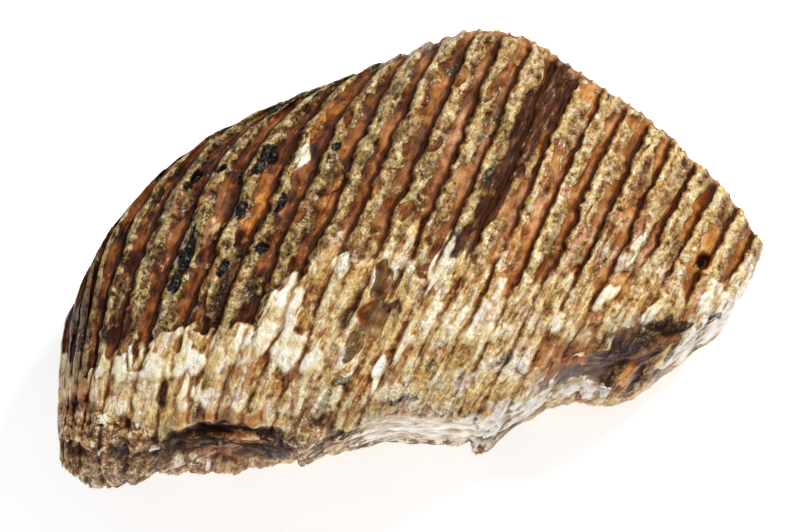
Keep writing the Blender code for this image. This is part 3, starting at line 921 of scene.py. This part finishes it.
def fossil_tooth_material(settings):
    """Fossil tooth: mineralised enamel and cement, sealed with a thin clear lacquer.

    The enamel between the ridges is smooth and takes soft light. The cement on the ridges and the
    roots is coarse and has the most lacquer, so it sparkles.
    """
    material = bpy.data.materials.new("fossil_enamel_and_cement")
    material.use_nodes = True
    nodes = Nodes(material.node_tree)
    zone, noise = zone_sources(nodes), noise_sources(nodes)

    colour, cover, foot = clean_colour(nodes, zone, noise, settings)
    coarse = nodes.maths("MAXIMUM", cover, zone["root"])
    colour = tinted(nodes, colour, zone, noise, coarse, foot)
    colour = stained(nodes, colour, zone, noise, settings)
    colour = painted_light_and_shade(nodes, colour, zone, noise, coarse, settings)

    coarse = nodes.maths("MULTIPLY", coarse, nodes.maths("SUBTRACT", 1.0, zone["bare"]))
    lacquer, rough = gloss(nodes, zone, noise, coarse)
    shader = nodes.add("BsdfPrincipled", {
        "Base Color": colour, "Roughness": rough, "IOR": 1.5, "Specular IOR Level": 0.14,
        "Coat Weight": lacquer, "Coat Roughness": 0.14, "Normal": bump(nodes, zone, noise, coarse)})
    nodes.add("OutputMaterial", {"Surface": shader[0]})
    return material


def light_table_material():
    """Opal acrylic light table: matt white sheet with a soft glow from below, so shadows stay pale."""
    material = bpy.data.materials.new("opal_acrylic_light_table")
    material.use_nodes = True
    shader = material.node_tree.nodes["Principled BSDF"]
    shader.inputs["Base Color"].default_value = linear("#F6F6F7")
    shader.inputs["Roughness"].default_value = 0.9
    shader.inputs["Emission Color"].default_value = linear("#F4F6F9")
    shader.inputs["Emission Strength"].default_value = 0.54
    return material


def colour_setting(name, description, hex_colour):
    return FloatVectorProperty(name=name, description=description, default=linear(hex_colour)[:3],
                               min=0, max=1, subtype="COLOR")


class MolarSettings(bpy.types.PropertyGroup):
    relief: FloatProperty(name="Relief", description="How strongly the fine relief stands out",
                          default=1.0, min=0.0, max=2.0, subtype="FACTOR")
    cement_front: colour_setting("Front cement", "Cement on the front ridges", "#CCAB6F")
    cement_back: colour_setting("Back cement", "Cement on the back ridges", "#8A7448")
    enamel_front: colour_setting("Front enamel", "Enamel between the front ridges", "#CB9457")
    enamel_back: colour_setting("Back enamel", "Enamel between the back ridges", "#8C552C")
    root_cement: colour_setting("Root cement", "Flaking cement on the roots", "#E6CC94")
    glaze: colour_setting("Glaze", "White glaze on the underside", "#F2EBE3")
    # The grooves' colour is painted shade.
    groove_shade: colour_setting("Grooves", "Painted shade in the grooves between the plates", "#4A2A13")


class StudioSettings(bpy.types.PropertyGroup):
    camera_distance: FloatProperty(name="Camera distance", description="From the tooth's middle",
                                   default=1.0, min=0.3, max=5.0, unit="LENGTH")
    camera_elevation: FloatProperty(name="Camera elevation", description="Above the floor",
                                    default=math.radians(78), subtype="ANGLE")
    key_power: FloatProperty(name="Key light", description="Power of the key light",
                             default=14.0, min=0.0, unit="POWER")
    fill_power: FloatProperty(name="Fill light", description="Power of the fill light",
                              default=4.0, min=0.0, unit="POWER")
    room_light: FloatProperty(name="Room light", description="Brightness of the white room",
                              default=0.38, min=0.0, max=3.0)


def deselect_all(context):
    for other in context.view_layer.objects:
        other.select_set(False)


def store(mesh, name, values, domain="POINT"):
    """Keeps a value, a vector or a yes or no for each point or edge, under a name."""
    kind, key = ("FLOAT_VECTOR", "vector") if values.ndim == 2 else ("FLOAT", "value")
    if values.dtype == bool:
        kind = "BOOLEAN"
    mesh.attributes.new(name, kind, domain).data.foreach_set(key, values.ravel())


def add_length(context, name, points, fields, first, last, material):
    """One length of the tooth, from a first ring to a last, with what the material reads on it."""
    # A cut end closes inside the tooth, in two rings and a pole.
    rows = np.arange(first, last + 1)
    shares = np.ones(len(rows))
    if first > 0:
        rows, shares = np.append([first] * 2, rows), np.append([0.0, 0.5], shares)
    if last < RINGS:
        rows, shares = np.append(rows, [last] * 2), np.append(shares, [0.5, 0.0])
    middles = points[rows].mean(1, keepdims=True)
    places = middles + (points[rows] - middles) * shares[:, None, None]

    deselect_all(context)
    around = sum(AROUND_STEPS)
    bpy.ops.mesh.primitive_grid_add(x_subdivisions=around, y_subdivisions=len(rows) - 1, size=2)
    tooth = context.active_object
    tooth.name = name
    mesh = tooth.data
    mesh.name = name

    # Every point of the grid takes its own place in the skin, by its row and its step.
    flat = np.empty(len(mesh.vertices) * 3)
    mesh.vertices.foreach_get("co", flat)
    across, along, _ = (flat.reshape(-1, 3).T + 1) / 2
    step = np.round(across * around).astype(int) % around
    row = np.round(along * (len(rows) - 1)).astype(int)
    mesh.vertices.foreach_set("co", (places[row, step] * MM).ravel())
    for field, values in fields.items():
        store(mesh, field, values[rows[row], step].astype(np.float32))

    # The rim of a cut end is sharp, so that the skin's shading runs on over the joint.
    edges = np.empty(len(mesh.edges) * 2, np.int32)
    mesh.edges.foreach_get("vertices", edges)
    start, end = row[edges].reshape(-1, 2).T
    rims = [2] * (first > 0) + [len(rows) - 3] * (last < RINGS)
    store(mesh, "sharp_edge", (start == end) & np.isin(start, rims), "EDGE")

    # The grid's sides meet in a seam, and its first and last rows each in one point.
    bpy.ops.object.mode_set(mode="EDIT")
    bpy.ops.mesh.select_all(action="SELECT")
    bpy.ops.mesh.remove_doubles(threshold=MERGE_DISTANCE)
    bpy.ops.mesh.normals_make_consistent(inside=False)
    bpy.ops.object.mode_set(mode="OBJECT")
    bpy.ops.object.shade_smooth()
    mesh.materials.append(material)
    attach(tooth, "root")
    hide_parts("molar")


class MOLAR_OT_tooth(bpy.types.Operator):
    """Models the tooth and gives it its fossil surface"""

    bl_idname = "molar.tooth"
    bl_label = "Model the tooth"

    def execute(self, context):
        settings = context.scene.molar_tooth
        points, zones, sheets = tooth_skin(settings.relief)
        low, high = points.min((0, 1)), points.max((0, 1))
        points[..., :2] -= ((low + high) / 2)[:2]
        material = fossil_tooth_material(settings)
        ends = np.linspace(0, RINGS, len(LENGTHS) + 1).astype(int)
        for name, first, last in zip(LENGTHS, ends, ends[1:]):
            add_length(context, name, points, {**zones, **sheets}, first, last, material)
        return {"FINISHED"}


class MOLAR_OT_studio(bpy.types.Operator):
    """Adds the floor, the lights and the camera"""

    bl_idname = "molar.studio"
    bl_label = "Set up the studio"

    def execute(self, context):
        settings = context.scene.molar_studio
        deselect_all(context)
        bpy.ops.mesh.primitive_plane_add(size=FLOOR_SIZE, location=(0, 0, -FLOOR_GAP))
        floor = context.active_object
        floor.name = "studio_floor"
        floor.data.materials.append(light_table_material())

        middle = Vector((0, 0, TOOTH_MIDDLE_Z))
        # Each lamp's name, place, width and power.
        lamps = (
            ("key_light", (0.55, 0.55, 0.95), 0.35, settings.key_power),
            ("fill_light", (-0.5, -0.9, 0.6), 0.9, settings.fill_power),
        )
        for name, place, size, power in lamps:
            bpy.ops.object.light_add(type="AREA", location=place)
            lamp = context.active_object
            lamp.name = name
            lamp.data.shape = "DISK"
            lamp.data.size = size
            lamp.data.energy = power
            lamp.rotation_euler = (Vector(place) - middle).to_track_quat("Z", "Y").to_euler()

        world = bpy.data.worlds.new("white_room")
        world.use_nodes = True
        sky = world.node_tree.nodes["Background"]
        sky.inputs["Color"].default_value = linear("#FFFFFF")
        sky.inputs["Strength"].default_value = settings.room_light
        context.scene.world = world
        # The photograph is crisp and its white is white, so colours are shown as they are.
        context.scene.view_settings.view_transform = "Standard"

        # The camera looks down on the upper flank, a little from the roots' side.
        tilt = settings.camera_elevation
        back = Vector((0, -math.cos(tilt), math.sin(tilt)))
        turned = back.to_track_quat("Z", "Y")
        up = turned @ Vector((0, 1, 0))
        aim = middle + Vector((AIM_X, 0, 0)) - up * AIM_BELOW
        bpy.ops.object.camera_add(location=aim + back * settings.camera_distance)
        camera = context.active_object
        camera.name = "photo_camera"
        camera.rotation_euler = turned.to_euler()
        camera.data.sensor_width = SENSOR_MM
        camera.data.lens = SENSOR_MM / (PHOTO_WIDTH_PX / PX_PER_MM) * 1000 * settings.camera_distance
        context.scene.camera = camera
        return {"FINISHED"}


class MOLAR_PT_panel(bpy.types.Panel):
    bl_label = "Mammoth molar"
    bl_idname = "MOLAR_PT_panel"
    bl_space_type = "VIEW_3D"
    bl_region_type = "UI"
    bl_category = "Molar"

    def draw(self, context):
        scene = context.scene
        for settings, operator in ((scene.molar_tooth, MOLAR_OT_tooth),
                                   (scene.molar_studio, MOLAR_OT_studio)):
            for name in type(settings).__annotations__:
                self.layout.prop(settings, name)
            self.layout.operator(operator.bl_idname)


CLASSES = (MolarSettings, StudioSettings, MOLAR_OT_tooth, MOLAR_OT_studio, MOLAR_PT_panel)


def register():
    for cls in CLASSES:
        bpy.utils.register_class(cls)
    bpy.types.Scene.molar_tooth = PointerProperty(type=MolarSettings)
    bpy.types.Scene.molar_studio = PointerProperty(type=StudioSettings)


def unregister():
    del bpy.types.Scene.molar_tooth
    del bpy.types.Scene.molar_studio
    for cls in reversed(CLASSES):
        bpy.utils.unregister_class(cls)


def main():
    register()
    bpy.ops.molar.tooth()
    bpy.ops.molar.studio()


if __name__ == "__main__":
    main()
